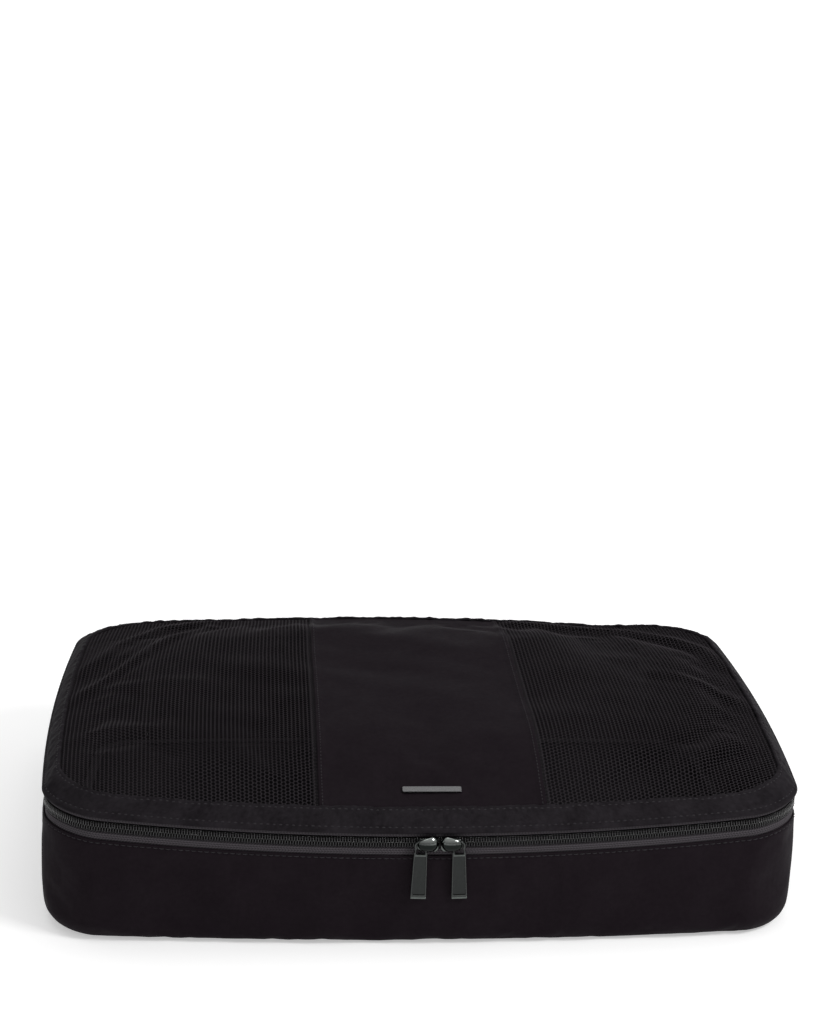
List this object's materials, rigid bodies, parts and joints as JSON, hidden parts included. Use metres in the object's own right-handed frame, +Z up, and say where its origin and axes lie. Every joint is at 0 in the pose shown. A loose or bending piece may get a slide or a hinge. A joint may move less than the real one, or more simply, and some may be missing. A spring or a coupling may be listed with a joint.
{
  "type": "packing cube",
  "caption": "Soft nylon packing cube, filled, with a zipped lid hinged at the back: nylon centre panel between two net windows, stitched border and metal pull tabs.",
  "frame": {"origin": "on the floor under the middle of the case, in the flat underside", "axes": "+X to the right seen from the front, along the long side; +Y to the hinged back, the zip pulls are on the -Y side; +Z up"},
  "size_m": [0.445, 0.3164, 0.0943],
  "materials": {
    "nylon": "matte woven nylon with a faint sheen",
    "nylon_trim": "matte woven nylon band, topstitched",
    "net": "fine black knitted polyester net",
    "binding": "matte ribbed binding tape",
    "zip_tape": "matte herringbone zip tape",
    "zip_coil": "black nylon monofilament coil",
    "slider_metal": "dark polished plating",
    "pull_metal": "gunmetal plating, satin",
    "badge_metal": "brushed, plain"
  },
  "bodies": {
    "base": {"bottom_panel": "nylon", "gusset": "nylon", "back_panel": "nylon", "bottom_seam_binding": "binding", "back_corner_binding_left": "binding", "back_corner_binding_right": "binding", "zip_tape_lower": "zip_tape", "zip_coil_lower": "zip_coil", "zip_end_tab_left": "binding", "zip_end_tab_right": "binding"},
    "lid": {"lid_centre_panel": "nylon", "lid_mesh_left": "net", "lid_mesh_right": "net", "lid_border": "nylon_trim", "lid_seam_binding_left": "binding", "lid_seam_binding_right": "binding", "lid_edge_binding": "binding", "lid_back_skirt": "nylon", "zip_tape_upper": "zip_tape", "zip_coil_upper": "zip_coil", "badge_plate": "badge_metal"},
    "slider_left": {"slider_left_body": "slider_metal", "slider_left_cap": "slider_metal"},
    "pull_left": {"pull_left": "pull_metal"},
    "slider_right": {"slider_right_body": "slider_metal", "slider_right_cap": "slider_metal"},
    "pull_right": {"pull_right": "pull_metal"}
  },
  "joints": [
    {"name": "lid_hinge", "type": "hinge", "parent": "base", "child": "lid", "pos_m": [0, 0.1535, 0.0742], "axis": [-1, 0, 0], "range_deg": [0, 180]},
    {"name": "slider_left_travel", "type": "hinge", "parent": "base", "child": "slider_left", "pos_m": [0, 1.0464, 1.2209], "axis": [0, 0.6926, -0.7214], "range_deg": [0, 5.1]},
    {"name": "slider_right_travel", "type": "hinge", "parent": "base", "child": "slider_right", "pos_m": [0, 1.0464, 1.2209], "axis": [0, -0.6926, 0.7214], "range_deg": [0, 5.1]},
    {"name": "pull_left_swing", "type": "hinge", "parent": "slider_left", "child": "pull_left", "pos_m": [-0.0042, -0.16095, 0.0646], "axis": [0, 1, 0], "range_deg": [-10, 90]},
    {"name": "pull_right_swing", "type": "hinge", "parent": "slider_right", "child": "pull_right", "pos_m": [0.0172, -0.16095, 0.0646], "axis": [0, -1, 0], "range_deg": [-10, 90]}
  ]
}
